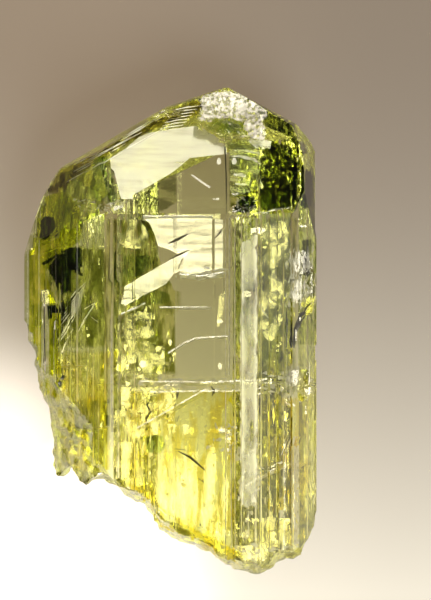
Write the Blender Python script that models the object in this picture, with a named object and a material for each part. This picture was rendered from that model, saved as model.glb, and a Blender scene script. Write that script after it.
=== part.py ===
"""A loose gem zoisite crystal, lying on its flat back face with its tip towards +Y. Metres, +Z up.

It is one solid. A striated prism runs along Y. Tilted crystal faces close it at the tip, and it is broken off
at the base and along its lower left side. The origin is under the middle of the crystal, on the surface that
it lies on.
"""

import math
import random

import bmesh
import bpy
from mathutils import Matrix, Vector, noise

# Driving dimensions, in millimetres: X across the crystal, Y towards its tip, Z up from the back face.
LENGTH = 30.0
WIDTH = 17.96
THICKNESS = 10.2

# Edges that run along the prism, as places across it.
LEFT_EDGE_Z = 4.9
FRONT_LEFT_X = -3.3
RIB_X = 3.4
RIB_WIDTH = 0.62
RIB_HEIGHT = 0.16
FRONT_RIGHT_X = 7.45
RIGHT_SIDE_TOP_Z = 7.9
RIGHT_SIDE_FOOT_Z = 4.1
BACK_FLAT_RIGHT_X = 3.9
BACK_FLAT_LEFT_X = -0.7
BACK_STEP = 0.18
BACK_LEFT_X = -5.9
BACK_LEFT_Z = 4.3

# The tip: where the front and back faces fold over, and the ridge between them.
FRONT_FOLD_Y = 7.1
BACK_FOLD_LEFT_Y = 7.44
BACK_FOLD_RIGHT_Y = 9.4
TIP_X = 3.47
TIP_Z = 5.2
HALF_LENGTH = LENGTH / 2
HALF_WIDTH = WIDTH / 2

# Relief of the broken surfaces: shell-shaped bowls, lumps and ripples, on cells of this size.
BOWL_SIZE = 2.6
BOWL_DEPTH = 0.5
LUMP_HEIGHT = 0.2
RIPPLE_PITCH = 1.5
RIPPLE_HEIGHT = 0.06
BREAK_CELL = 0.5
BASE_OUTWARD = 0.15
LEFT_OUTWARD = 0.25
TIP_BREAK_DEPTH = 0.4

STRIATION_RISER = 0.05
OVERSHOOT = 1.5
MM = 0.001

CRYSTAL_COLOUR = (0.80, 0.83, 0.36, 1.0)
CRYSTAL_IOR = 1.695

# The broken base seen from the front, from the lower left corner to the right side: x and y.
BASE_PROFILE = (
    (-9.6, -8.2),
    (-7.1, -8.85),
    (-6.5, -8.95),
    (-6.0, -8.6),
    (-5.1, -9.45),
    (-3.75, -9.05),
    (-2.45, -10.2),
    (-1.1, -10.9),
    (-0.85, -11.9),
    (1.25, -13.15),
    (2.9, -13.95),
    (4.2, -14.75),
    (5.6, -15.05),
    (6.5, -14.3),
    (7.85, -13.85),
    (8.6, -12.9),
    (9.0, -11.4),
    (9.6, -8.5),
)

# The broken lower left side seen from the front, from its top to the base: y and x.
LEFT_PROFILE = (
    (-16.5, -6.6),
    (-8.9, -7.0),
    (-7.6, -7.25),
    (-6.4, -7.32),
    (-5.4, -7.25),
    (-4.7, -7.4),
    (-4.1, -7.75),
    (-3.3, -8.0),
    (-2.2, -8.35),
    (-1.1, -8.68),
    (0.6, -9.0),
    (2.0, -9.6),
)


def clear_scene():
    for old in list(bpy.data.objects):
        bpy.data.objects.remove(old)


def crystal_material():
    material = bpy.data.materials.new("zoisite")
    material.use_nodes = True
    shader = material.node_tree.nodes["Principled BSDF"]
    shader.inputs["Base Color"].default_value = CRYSTAL_COLOUR
    shader.inputs["Roughness"].default_value = 0.03
    shader.inputs["Metallic"].default_value = 0.0
    shader.inputs["IOR"].default_value = CRYSTAL_IOR
    shader.inputs["Transmission Weight"].default_value = 1.0
    return material


def profile_at(profile, place):
    """The second value of a profile, read along its first values with straight runs between its points."""
    for (a, low), (b, high) in zip(profile, profile[1:]):
        if place <= b:
            share = max(0.0, (place - a) / (b - a))
            return low + share * (high - low)
    return profile[-1][1]


# The prism and its striations.


def striated(start, end, steps, depth, seed):
    """Points from start towards end, across a prism face: flat treads at slightly different depths."""
    rng = random.Random(seed)
    start, end = Vector(start), Vector(end)
    along = (end - start).normalized()
    inward = Vector((along.y, -along.x))
    tread = (end - start).length / steps
    points, sunk = [start], 0.0
    for step in range(steps):
        place = (step + rng.uniform(0.15, 0.8)) * tread
        points.append(start + along * place + inward * sunk)
        sunk = rng.choice((0.0, 0.35, 0.7, 1.0)) * depth
        points.append(start + along * (place + STRIATION_RISER) + inward * sunk)
    return points


def prism_outline():
    """The prism's cross-section as x and z, clockwise seen from the base, from the left edge."""
    rib_top = THICKNESS + RIB_HEIGHT
    left_edge = (-HALF_WIDTH, LEFT_EDGE_Z)
    front_left = (FRONT_LEFT_X, THICKNESS)
    rib_foot = (RIB_X, THICKNESS)
    right_of_rib = (RIB_X + RIB_WIDTH, THICKNESS - 0.12)
    band_end = (RIB_X + 2.0, THICKNESS - 0.2)
    front_right = (FRONT_RIGHT_X, THICKNESS - 0.45)
    side_top = (HALF_WIDTH - 0.03, RIGHT_SIDE_TOP_Z)
    side_foot = (HALF_WIDTH, RIGHT_SIDE_FOOT_Z)
    back_right = (BACK_FLAT_RIGHT_X, 0.0)
    back_left = (BACK_LEFT_X, BACK_LEFT_Z)
    outline = []
    outline += striated(left_edge, front_left, 9, 0.11, 3)
    outline += striated(front_left, rib_foot, 3, 0.04, 5)
    outline += [Vector(rib_foot), Vector((RIB_X + 0.06, rib_top)), Vector((RIB_X + RIB_WIDTH - 0.08, rib_top))]
    outline += [Vector(right_of_rib), Vector((RIB_X + 0.95, THICKNESS - 0.12))]
    outline += [Vector((RIB_X + 1.0, THICKNESS - 0.02)), Vector((band_end[0] - 0.05, THICKNESS - 0.05))]
    outline += striated(band_end, front_right, 4, 0.07, 8)
    outline += striated(front_right, side_top, 3, 0.08, 13)
    outline += striated(side_top, side_foot, 5, 0.08, 21)
    outline += striated(side_foot, back_right, 6, 0.1, 34)
    outline += [Vector(back_right), Vector((BACK_FLAT_LEFT_X, 0.0))]
    outline += striated((BACK_FLAT_LEFT_X - 0.05, BACK_STEP), back_left, 7, 0.12, 55)
    outline += striated(back_left, left_edge, 3, 0.08, 89)
    return outline


def extruded(outline, low, high):
    """A closed prism with this cross-section of x and z, from y low to y high."""
    bm = bmesh.new()
    ring = [bm.verts.new((point.x, low, point.y)) for point in outline]
    cap = bm.faces.new(ring)
    grown = bmesh.ops.extrude_face_region(bm, geom=[cap])["geom"]
    moved = [item for item in grown if isinstance(item, bmesh.types.BMVert)]
    bmesh.ops.translate(bm, verts=moved, vec=(0.0, high - low, 0.0))
    bmesh.ops.recalc_face_normals(bm, faces=bm.faces)
    return bm


# The crystal faces that close the tip.


def tip_faces():
    """Each face as a point on it and its outward normal."""
    silhouette = TIP_Z
    return (
        # The two broad front faces, which meet in a ridge above the rib.
        ((0.0, FRONT_FOLD_Y, THICKNESS), (0.0, 0.535, 0.845)),
        ((RIB_X, FRONT_FOLD_Y, THICKNESS), (0.085, 0.535, 0.841)),
        # The two on the back. The left one's fold slants as the upper left outline does.
        ((0.0, BACK_FOLD_LEFT_Y, 0.0), (-0.324, 0.591, -0.738)),
        ((BACK_FLAT_RIGHT_X, BACK_FOLD_RIGHT_Y, 0.0), (0.30, 0.62, -0.725)),
        # Narrow faces along the upper left outline, front and back.
        ((-6.76, 10.07, silhouette), (-0.49, 0.85, 0.2)),
        ((-6.76, 10.07, silhouette), (-0.48, 0.83, -0.26)),
        ((TIP_X, HALF_LENGTH, silhouette), (-0.295, 0.935, 0.2)),
        # Along the upper right outline.
        ((TIP_X + 0.2, HALF_LENGTH, silhouette), (0.462, 0.858, 0.22)),
        ((TIP_X + 0.2, HALF_LENGTH, silhouette), (0.45, 0.84, -0.3)),
        # The left shoulder, front and back, and its small corner face.
        ((-3.5, FRONT_FOLD_Y, 10.05), (-0.715, 0.22, 0.66)),
        ((-8.25, FRONT_FOLD_Y, LEFT_EDGE_Z), (-0.70, 0.24, -0.67)),
        ((-6.76, 10.07, silhouette), (-0.85, 0.48, 0.2)),
        # The right shoulder.
        ((7.72, 12.84, silhouette), (0.848, 0.468, 0.25)),
        ((8.72, 11.0, silhouette), (0.955, 0.16, 0.25)),
        ((7.6, 8.2, 9.55), (0.60, 0.30, 0.74)),
    )


def cut_with_faces(bm, faces):
    for point, normal in faces:
        everything = bm.verts[:] + bm.edges[:] + bm.faces[:]
        cut = bmesh.ops.bisect_plane(
            bm, geom=everything, plane_co=point, plane_no=normal, clear_outer=True, dist=1e-5
        )["geom_cut"]
        rim = [item for item in cut if isinstance(item, bmesh.types.BMEdge)]
        bmesh.ops.holes_fill(bm, edges=rim)


# The broken surfaces.


def break_relief(point, centre, seed):
    """How far a broken surface is sunk below its outermost level, with ripples round where the break began."""
    moved = point + Vector((seed, 0.0, 0.0))
    from_middle = noise.voronoi(moved / BOWL_SIZE)[0][0]
    bowls = BOWL_DEPTH * max(0.0, 1.0 - (from_middle / 0.62) ** 2)
    lumps = LUMP_HEIGHT * (1.0 + noise.fractal(moved * 0.9, 1.0, 2.1, 3))
    away = (point - centre).length
    ripples = RIPPLE_HEIGHT * math.sin(2 * math.pi * away / RIPPLE_PITCH) * math.exp(-away / 9.0)
    return bowls + lumps + ripples


def base_surface(x, z):
    """The broken base. It is lowest along the middle of the thickness and rises towards the front and back."""
    rise = 0.02 * abs(z - 4.2) ** 1.9
    flat = Vector((x, profile_at(BASE_PROFILE, x) + rise - BASE_OUTWARD, z))
    return flat + Vector((0.0, break_relief(flat, Vector((5.5, -15.0, 9.0)), 3.0), 0.0))


def left_surface(y, z):
    """The broken lower left side. It leans back towards the front face."""
    lean = 0.66 * max(0.0, z - LEFT_EDGE_Z) + 0.5 * max(0.0, LEFT_EDGE_Z - z)
    flat = Vector((profile_at(LEFT_PROFILE, y) + lean - LEFT_OUTWARD, y, z))
    return flat + Vector((0.6 * break_relief(flat, Vector((-9.0, -3.0, 10.0)), 11.0), 0.0, 0.0))


def tip_surface(x, y):
    """The shallow rough break on the front of the tip. Past its oval rim it stands clear of the crystal."""
    face = THICKNESS - 0.633 * (y - FRONT_FOLD_Y)
    inside = 1.0 - ((x - 4.0) / 2.3) ** 2 - ((y - 13.25) / 1.8) ** 2
    flat = Vector((x, y, face - TIP_BREAK_DEPTH * inside))
    return flat - Vector((0.0, 0.0, 0.45 * break_relief(flat * 1.8, Vector((0.0, 0.0, 0.0)), 23.0) - 0.12))


def sheet_cutter(name, surface, first, second, away):
    """A hidden solid between a surface over a grid of two ranges and the same surface moved away."""
    bm = bmesh.new()
    columns = max(2, round((first[1] - first[0]) / first[2]))
    rows = max(2, round((second[1] - second[0]) / second[2]))
    grid = []
    for i in range(columns + 1):
        a = first[0] + (first[1] - first[0]) * i / columns
        line = []
        for j in range(rows + 1):
            b = second[0] + (second[1] - second[0]) * j / rows
            line.append(bm.verts.new(surface(a, b)))
        grid.append(line)
    sheet = []
    for near, far in zip(grid, grid[1:]):
        for corner in range(rows):
            sheet.append(bm.faces.new((near[corner], near[corner + 1], far[corner + 1], far[corner])))
    bmesh.ops.triangulate(bm, faces=sheet)
    grown = bmesh.ops.extrude_face_region(bm, geom=bm.faces[:])["geom"]
    moved = [item for item in grown if isinstance(item, bmesh.types.BMVert)]
    bmesh.ops.translate(bm, verts=moved, vec=away)
    bmesh.ops.recalc_face_normals(bm, faces=bm.faces)
    return hidden_object(name, bm)


def chip_cutter(name, centre, radii, seed):
    """A hidden lumpy ball that bites a shell-shaped chip out of an edge."""
    bm = bmesh.new()
    bmesh.ops.create_icosphere(bm, subdivisions=3, radius=1.0)
    for vert in bm.verts:
        swell = 1.0 + 0.14 * noise.noise(vert.co * 2.3 + Vector((seed, 0.0, 0.0)))
        vert.co = Vector([part * radius for part, radius in zip(vert.co * swell, radii)]) + Vector(centre)
    return hidden_object(name, bm)


def groove_cutter(name, middle, along_face, width, depth, low, high):
    """A hidden three-sided bar that cuts one striation into a prism face, from y low to y high."""
    across = Vector((along_face[0], 0.0, along_face[1])).normalized()
    outward = Vector((-across.z, 0.0, across.x))
    bm = bmesh.new()
    ends = []
    for y in (low, high):
        foot = Vector((middle[0], y, middle[1]))
        points = (foot - across * width / 2 + outward * depth, foot + across * width / 2 + outward * depth)
        ends.append([bm.verts.new(point) for point in points] + [bm.verts.new(foot - outward * depth)])
    bm.faces.new(ends[0])
    bm.faces.new(reversed(ends[1]))
    for here in range(3):
        there = (here + 1) % 3
        bm.faces.new((ends[0][here], ends[1][here], ends[1][there], ends[0][there]))
    bmesh.ops.recalc_face_normals(bm, faces=bm.faces)
    return hidden_object(name, bm)


# Objects and their joining.


def new_object(name, bm):
    mesh = bpy.data.meshes.new(name)
    bmesh.ops.scale(bm, vec=(MM, MM, MM), verts=bm.verts)
    bm.to_mesh(mesh)
    bm.free()
    obj = bpy.data.objects.new(name, mesh)
    bpy.context.scene.collection.objects.link(obj)
    return obj


def hidden_object(name, bm):
    obj = new_object(name, bm)
    obj.hide_render = True
    obj.display_type = "WIRE"
    return obj


def subtract(target, cutter):
    cut = target.modifiers.new(cutter.name, "BOOLEAN")
    cut.operation = "DIFFERENCE"
    cut.solver = "EXACT"
    cut.object = cutter


def face_grooves():
    """The striations that end part of the way along the crystal, on its left and right front faces."""
    rng = random.Random(77)
    left_face = (Vector((-HALF_WIDTH, LEFT_EDGE_Z)), Vector((FRONT_LEFT_X, THICKNESS)))
    right_face = (Vector((RIB_X + 2.2, THICKNESS - 0.22)), Vector((FRONT_RIGHT_X, THICKNESS - 0.45)))
    cutters = []
    for face, count in ((left_face, 7), (right_face, 3)):
        for place in range(count):
            share = (place + rng.uniform(0.3, 0.7)) / count
            middle = face[0].lerp(face[1], share)
            low = rng.uniform(-12.0, -3.0)
            high = low + rng.uniform(5.0, 12.0)
            width = rng.uniform(0.24, 0.42)
            depth = rng.uniform(0.15, 0.22)
            name = f"groove_{len(cutters):02d}"
            cutters.append(groove_cutter(name, middle, face[1] - face[0], width, depth, low, high))
    return cutters


def edge_chips():
    """Chips along the right front edge, a pit on the lower left and one on the left shoulder."""
    places = (
        ((8.75, 2.6, 8.9), (0.75, 1.9, 1.1), 1.0),
        ((9.0, -1.2, 7.4), (0.42, 0.55, 0.9), 2.0),
        ((8.5, -3.3, 9.2), (0.8, 1.3, 0.8), 3.0),
        ((9.15, -4.4, 6.8), (0.42, 0.4, 0.9), 4.0),
        ((-6.7, -3.2, 7.15), (0.42, 0.5, 0.55), 5.0),
        ((-0.6, 13.35, 6.35), (1.3, 0.5, 0.5), 6.0),
        ((4.4, 7.4, 10.45), (0.8, 0.45, 0.85), 7.0),
    )
    return [chip_cutter(f"chip_{n}", *place) for n, place in enumerate(places)]


def centred(obj):
    """Applies the cuts and puts the origin under the middle of the crystal."""
    depsgraph = bpy.context.evaluated_depsgraph_get()
    mesh = bpy.data.meshes.new_from_object(obj.evaluated_get(depsgraph))
    obj.modifiers.clear()
    obj.data = mesh
    lows = [min(vert.co[axis] for vert in mesh.vertices) for axis in range(3)]
    highs = [max(vert.co[axis] for vert in mesh.vertices) for axis in range(3)]
    mesh.transform(Matrix.Translation((-(lows[0] + highs[0]) / 2, -(lows[1] + highs[1]) / 2, -lows[2])))


def build_crystal():
    bm = extruded(prism_outline(), -HALF_LENGTH - OVERSHOOT, HALF_LENGTH + OVERSHOOT)
    cut_with_faces(bm, tip_faces())
    crystal = new_object("zoisite_crystal", bm)
    across = (-HALF_WIDTH - OVERSHOOT, HALF_WIDTH + OVERSHOOT, BREAK_CELL)
    deep = (-OVERSHOOT, THICKNESS + OVERSHOOT, BREAK_CELL)
    cutters = [
        sheet_cutter("base_break", base_surface, across, deep, (0.0, -12.0, 0.0)),
        sheet_cutter("left_break", left_surface, (-17.5, 1.9, BREAK_CELL), deep, (-9.0, 0.0, 0.0)),
        sheet_cutter("tip_break", tip_surface, (0.8, 7.2, 0.4), (10.8, 16.4, 0.4), (0.0, 3.0, 6.0)),
    ]
    cutters += edge_chips()
    cutters += face_grooves()
    for cutter in cutters:
        subtract(crystal, cutter)
    centred(crystal)
    for cutter in cutters:
        bpy.data.objects.remove(cutter)
    crystal.data.materials.clear()
    crystal.data.materials.append(crystal_material())


def main():
    clear_scene()
    build_crystal()


main()
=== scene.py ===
import math
import random

import bmesh
import bpy
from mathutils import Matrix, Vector, noise
from mathutils.bvhtree import BVHTree


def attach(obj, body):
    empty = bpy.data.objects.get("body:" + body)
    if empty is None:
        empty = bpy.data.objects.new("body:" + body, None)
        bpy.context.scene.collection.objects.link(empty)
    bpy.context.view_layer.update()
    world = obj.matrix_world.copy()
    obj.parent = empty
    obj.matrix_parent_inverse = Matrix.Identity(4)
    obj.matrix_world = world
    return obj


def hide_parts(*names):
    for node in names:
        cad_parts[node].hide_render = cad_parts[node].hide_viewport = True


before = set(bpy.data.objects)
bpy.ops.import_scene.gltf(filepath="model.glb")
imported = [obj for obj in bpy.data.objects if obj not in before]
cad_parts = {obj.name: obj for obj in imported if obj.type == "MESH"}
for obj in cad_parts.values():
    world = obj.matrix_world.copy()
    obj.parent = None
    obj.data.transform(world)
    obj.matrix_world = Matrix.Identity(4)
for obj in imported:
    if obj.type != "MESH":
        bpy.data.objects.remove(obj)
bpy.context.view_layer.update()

# Lengths are in millimetres and are made metres where a mesh is written: X across, Y to the tip, Z up.
MM = 0.001
IMAGE_WIDTH, IMAGE_HEIGHT = 431, 600
MM_PER_PIXEL = 0.0616
PIXEL_OF_ORIGIN = (169.75, 331.5)
CAMERA_HEIGHT = 200.0
SILHOUETTE_Z = 5.2

# The crystal's own optical constants.
IOR = 1.695
ABSORPTION_COLOUR = (0.90, 0.935, 0.08, 1.0)
ABSORPTION_DENSITY = 46.0

# Base colours of the clear faces and the broken ones, and how cloudy the frosted places are.
GREEN_TINT = (0.985, 0.985, 0.94, 1.0)
WINDOW_TINT = (0.94, 1.0, 0.90, 1.0)
GOLDEN_TINT = (1.0, 0.97, 0.84, 1.0)
OLIVE_TINT = (0.42, 0.52, 0.14, 1.0)
BREAK_TINT = (0.97, 0.95, 0.42, 1.0)
FROST_COLOUR = (1.0, 0.96, 0.80, 1.0)
FROST_SHARE = 0.95
BREAK_ROUGHNESS = 0.13
STRIP_COLOUR = (0.95, 0.95, 0.60, 1.0)
STRIP_SHARE = 0.30
STRIP_RIM_SHARE = 0.30

# The big soft box, which the cracks inside the crystal reflect.
SOFT_BOX_PLACE = Vector((50.0, -75.0, 125.0))


def at_pixel(x, y):
    """The place, across and along the crystal, that is seen at this pixel of the photograph."""
    return ((x - PIXEL_OF_ORIGIN[0]) * MM_PER_PIXEL, (PIXEL_OF_ORIGIN[1] - y) * MM_PER_PIXEL)


CAMERA_PLACE = Vector((*at_pixel(IMAGE_WIDTH / 2, IMAGE_HEIGHT / 2), CAMERA_HEIGHT))


def new_piece(name, bm, material):
    mesh = bpy.data.meshes.new(name)
    bmesh.ops.scale(bm, vec=(MM, MM, MM), verts=bm.verts)
    bm.to_mesh(mesh)
    bm.free()
    mesh.materials.append(material)
    piece = bpy.data.objects.new(name, mesh)
    bpy.context.scene.collection.objects.link(piece)
    return piece


# The crystal's surface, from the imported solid.


def solid_mesh():
    """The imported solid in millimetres, with the triangles of each flat face joined again."""
    bm = bmesh.new()
    bm.from_mesh(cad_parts["zoisite_crystal"].data)
    bmesh.ops.scale(bm, vec=(1 / MM, 1 / MM, 1 / MM), verts=bm.verts)
    bmesh.ops.remove_doubles(bm, verts=bm.verts, dist=2e-4)
    bmesh.ops.dissolve_limit(bm, angle_limit=math.radians(0.3), verts=bm.verts, edges=bm.edges)
    bm.normal_update()
    return bm


FLAT, BROKEN = 0, 1
TIP_BREAK_Y = 10.6
BREAK_CREASE = math.radians(34.0)
SMALL_AREA = 0.45
LONGEST_EDGE = 0.2

# The relief of the breaks: the size and depth of its shells, its grain, and the furthest that a point moves.
TIP_SHELLS = (0.4, 0.05)
SIDE_SHELLS = (1.1, 0.14)
GRAIN_SCALE = 2.6
GRAIN_HEIGHT = 0.05
RELIEF_SUNK = 0.04
RELIEF_LIMIT = 0.4


def mark_breaks(bm, kind):
    """Small faces that lie in no crystal face belong to the breaks and chips."""
    wide = [face.normal.copy() for face in bm.faces if face.calc_area() > 3 * SMALL_AREA]
    for face in bm.faces:
        along_prism = abs(face.normal.y) < 0.004
        in_face = any(face.normal.dot(normal) > 0.9995 for normal in wide)
        face[kind] = FLAT if along_prism or in_face or face.calc_area() > SMALL_AREA else BROKEN


def refine_breaks(bm, kind):
    """Splits the long edges of the broken faces, so that they can take a finer relief."""
    for _ in range(4):
        edges = {edge for face in bm.faces if face[kind] == BROKEN for edge in face.edges}
        long_edges = [edge for edge in edges if edge.calc_length() > LONGEST_EDGE]
        if not long_edges:
            break
        bmesh.ops.subdivide_edges(bm, edges=long_edges, cuts=1, use_grid_fill=False)
        rough = [face for face in bm.faces if face[kind] == BROKEN]
        bmesh.ops.triangulate(bm, faces=rough)


def slide(wanted, direction, walls):
    """The shortest move that goes this far along direction and stays on every flat wall it touches."""
    rows = [direction]
    for wall in walls:
        if all(abs(wall.dot(other)) < 0.999 for other in rows[1:]):
            rows.append(wall)
    if len(rows) > 3:
        return Vector()
    if len(rows) == 1:
        return direction * wanted
    if len(rows) == 2:
        free = direction - walls[0] * direction.dot(walls[0])
    else:
        free = rows[1].cross(rows[2])
    reach = free.dot(direction)
    if abs(reach) < 0.12:
        return Vector()
    return free * (wanted / reach)


def roughen_breaks(bm, kind):
    """Gives the breaks a finer relief, and keeps their rims on the flat faces beside them."""
    moves = []
    for vert in bm.verts:
        rough = [face for face in vert.link_faces if face[kind] == BROKEN]
        if not rough:
            continue
        walls = [face.normal.copy() for face in vert.link_faces if face[kind] == FLAT]
        out = sum((face.normal for face in rough), Vector()).normalized()
        size, depth = TIP_SHELLS if vert.co.y > TIP_BREAK_Y else SIDE_SHELLS
        near = noise.voronoi(vert.co / size)[0]
        shells = depth * ((near[0] / 0.6) ** 2 - 0.5)
        grain = GRAIN_HEIGHT * noise.fractal(vert.co * GRAIN_SCALE, 0.8, 2.1, 4)
        move = slide(shells + grain - RELIEF_SUNK, out, walls)
        moves.append((vert, move if move.length < RELIEF_LIMIT else move.normalized() * RELIEF_LIMIT))
    for vert, move in moves:
        if vert.co.z + move.z > 0.0:
            vert.co += move


PRISM_SIDES = (
    # A direction that the side faces, as x and z, the spacing of its growth lines, and their depth.
    ((-0.68, 0.73), 0.17, 0.004),
    ((0.0, 1.0), 0.42, 0.002),
    ((0.83, 0.56), 0.2, 0.012),
    ((1.0, 0.0), 0.22, 0.012),
    ((0.628, -0.778), 0.2, 0.014),
    ((-0.637, -0.77), 0.2, 0.014),
    ((-0.19, -0.98), 0.25, 0.012),
)
LINE_ROW = 1.3


def prism_side(face):
    """The side of the prism that a face belongs to, or None."""
    if abs(face.normal.y) > 0.02:
        return None
    best = max(PRISM_SIDES, key=lambda side: face.normal.x * side[0][0] + face.normal.z * side[0][1])
    return best if face.normal.x * best[0][0] + face.normal.z * best[0][1] > 0.93 else None


def cut_side(bm, kind, side, place, across):
    """Cuts the faces of one prism side along a plane."""
    faces = [face for face in bm.faces if face[kind] == FLAT and prism_side(face) is side]
    geom = {item for face in faces for item in (face, *face.edges, *face.verts)}
    bmesh.ops.bisect_plane(bm, geom=list(geom), plane_co=across * place, plane_no=across, dist=1e-4)


def cut_growth_lines(bm, kind):
    """Splits each prism side into narrow strips along Y, and sinks their lines by a little that varies."""
    rng = random.Random(41)
    along = Vector((0.0, 1.0, 0.0))
    for number, side in enumerate(PRISM_SIDES):
        facing, spacing, depth = side
        out = Vector((facing[0], 0.0, facing[1])).normalized()
        across = Vector((out.z, 0.0, -out.x))
        faces = [face for face in bm.faces if face[kind] == FLAT and prism_side(face) is side]
        if not faces:
            continue
        verts = {vert for face in faces for vert in face.verts}
        places = [vert.co.dot(across) for vert in verts]
        place, high = min(places) + spacing * 0.5, max(places)
        while place < high:
            cut_side(bm, kind, side, place, across)
            place += spacing * rng.uniform(0.35, 1.7)
        row, top = min(v.co.y for v in verts) + LINE_ROW * rng.random(), max(v.co.y for v in verts)
        while row < top:
            cut_side(bm, kind, side, row, along)
            row += LINE_ROW * rng.uniform(0.6, 1.4)
        bm.normal_update()
        faces = [face for face in bm.faces if face[kind] == FLAT and prism_side(face) is side]
        verts = {vert for face in faces for vert in face.verts}
        moves = []
        for vert in verts:
            line = round(vert.co.dot(across) * 500)
            drift = noise.noise(Vector((line * 1.37, vert.co.y * 0.22, number * 9.1)))
            walls = [f.normal.copy() for f in vert.link_faces if prism_side(f) is not side]
            if any(f.normal.dot(out) > 0.999 and prism_side(f) is side for f in vert.link_faces):
                moves.append((vert, slide(-depth * (0.5 + drift), out, walls)))
        for vert, move in moves:
            if move.length < 0.2 and vert.co.z + move.z > 0.0:
                vert.co += move


def crystal_mesh():
    bm = solid_mesh()
    kind = bm.faces.layers.int.new("kind")
    mark_breaks(bm, kind)
    refine_breaks(bm, kind)
    bm.normal_update()
    roughen_breaks(bm, kind)
    bm.normal_update()
    cut_growth_lines(bm, kind)
    bmesh.ops.triangulate(bm, faces=bm.faces)
    bm.normal_update()
    grain = bm.loops.layers.float.new("grain")
    upward = bm.loops.layers.float.new("upward")
    for face in bm.faces:
        broken = face[kind] == BROKEN
        face.smooth = broken
        for loop in face.loops:
            loop[grain] = float(broken)
            loop[upward] = face.normal.z
    for edge in bm.edges:
        kinds = {face[kind] for face in edge.link_faces}
        edge.smooth = kinds == {BROKEN} and edge.calc_face_angle(0.0) < BREAK_CREASE
    return bm


# Materials.

MIDDLE_COLOUR = (0.5, 0.5, 0.5)

# How a noise is stretched across and along the crystal and through its thickness.
EVEN = (1.0, 1.0, 1.0)
STREAKED = (0.35, 2.4, 1.0)
LONG_STREAKS = (1.0, 0.12, 1.0)


class Nodes:
    """Short calls to add nodes to a material and join them."""

    def __init__(self, material):
        material.use_nodes = True
        self.tree = material.node_tree
        self.shader = self.tree.nodes.get("Principled BSDF")
        self.output = self.tree.nodes["Material Output"]

    def add(self, kind, **settings):
        node = self.tree.nodes.new(kind)
        for name, value in settings.items():
            setattr(node, name, value)
        return node

    def put(self, socket, value):
        if isinstance(value, bpy.types.NodeSocket):
            self.tree.links.new(value, socket)
        else:
            socket.default_value = value

    def math(self, operation, a, b=0.0, c=0.0):
        node = self.add("ShaderNodeMath", operation=operation)
        for socket, value in zip(node.inputs, (a, b, c)):
            self.put(socket, value)
        return node.outputs[0]

    def times(self, *values):
        result = values[0]
        for value in values[1:]:
            result = self.math("MULTIPLY", result, value)
        return result

    def between(self, value, low, high, low_out=0.0, high_out=1.0):
        node = self.add("ShaderNodeMapRange", interpolation_type="SMOOTHSTEP")
        for socket, item in zip(node.inputs, (value, low, high, low_out, high_out)):
            self.put(socket, item)
        return node.outputs[0]

    def band(self, value, low, high, soft):
        """1 from low to high and 0 outside, with a soft change between."""
        past_low = self.between(value, low - soft, low + soft)
        return self.times(past_low, self.between(value, high + soft, high - soft))

    def window(self, x, y, corner, far_corner, soft):
        """1 inside a box of pixels and 0 outside it, with a soft edge in millimetres."""
        left, top = at_pixel(*corner)
        right, bottom = at_pixel(*far_corner)
        return self.times(self.band(x, left, right, soft), self.band(y, bottom, top, soft))

    def mix(self, share, a, b):
        node = self.add("ShaderNodeMix", data_type="RGBA")
        self.put(node.inputs["Factor"], share)
        self.put(node.inputs[6], a)
        self.put(node.inputs[7], b)
        return node.outputs[2]

    def shader_mix(self, share, a, b):
        node = self.add("ShaderNodeMixShader")
        self.put(node.inputs[0], share)
        self.put(node.inputs[1], a)
        self.put(node.inputs[2], b)
        return node.outputs[0]

    def surface(self, kind, colour):
        node = self.add(kind)
        self.put(node.inputs["Color"], colour)
        return node.outputs[0]

    def vector(self, operation, a, b=None):
        """Arithmetic on vectors. b is one number where the operation is SCALE."""
        node = self.add("ShaderNodeVectorMath", operation=operation)
        self.put(node.inputs[0], a)
        if b is not None:
            self.put(node.inputs["Scale" if operation == "SCALE" else 1], b)
        return node.outputs["Value" if operation == "DOT_PRODUCT" else "Vector"]

    def place(self):
        """The place on the object in millimetres, as a vector socket."""
        return self.vector("SCALE", self.add("ShaderNodeTexCoord").outputs["Object"], 1 / MM)

    def parts(self, vector):
        node = self.add("ShaderNodeSeparateXYZ")
        self.put(node.inputs[0], vector)
        return node.outputs

    def texture(self, kind, vector, scale):
        node = self.add(kind)
        self.put(node.inputs["Vector"], vector)
        node.inputs["Scale"].default_value = scale
        return node

    def noise(self, vector, scale, detail=3.0, stretch=EVEN):
        node = self.texture("ShaderNodeTexNoise", self.vector("MULTIPLY", vector, stretch), scale)
        node.inputs["Detail"].default_value = detail
        return node.outputs["Fac"]

    def facets(self, vector, scale, stretch):
        """The height of a mosaic of small flat faces, each with its own slope."""
        stretched = self.vector("MULTIPLY", vector, stretch)
        cells = self.texture("ShaderNodeTexVoronoi", stretched, scale)
        away = self.vector("SUBTRACT", stretched, cells.outputs["Position"])
        slope = self.vector("SUBTRACT", cells.outputs["Color"], MIDDLE_COLOUR)
        return self.vector("DOT_PRODUCT", away, slope)

    def wavering(self, vector, facing, ripple, scale):
        """A facing that wavers a little from place to place."""
        waves = self.texture("ShaderNodeTexNoise", vector, scale)
        waves.inputs["Detail"].default_value = 1.0
        waver = self.vector("SCALE", self.vector("SUBTRACT", waves.outputs["Color"], MIDDLE_COLOUR), ripple)
        return self.vector("NORMALIZE", self.vector("ADD", waver, facing))

    def within(self, pattern):
        """1 on a sheet, and 0 along its edge where that is a soft one, ragged by a noise."""
        ragged = self.math("SUBTRACT", 1.4, pattern)
        return self.between(self.times(self.attribute("edge"), ragged), 0.65, 0.3)

    def attribute(self, name):
        return self.add("ShaderNodeAttribute", attribute_name=name).outputs["Fac"]


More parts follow.
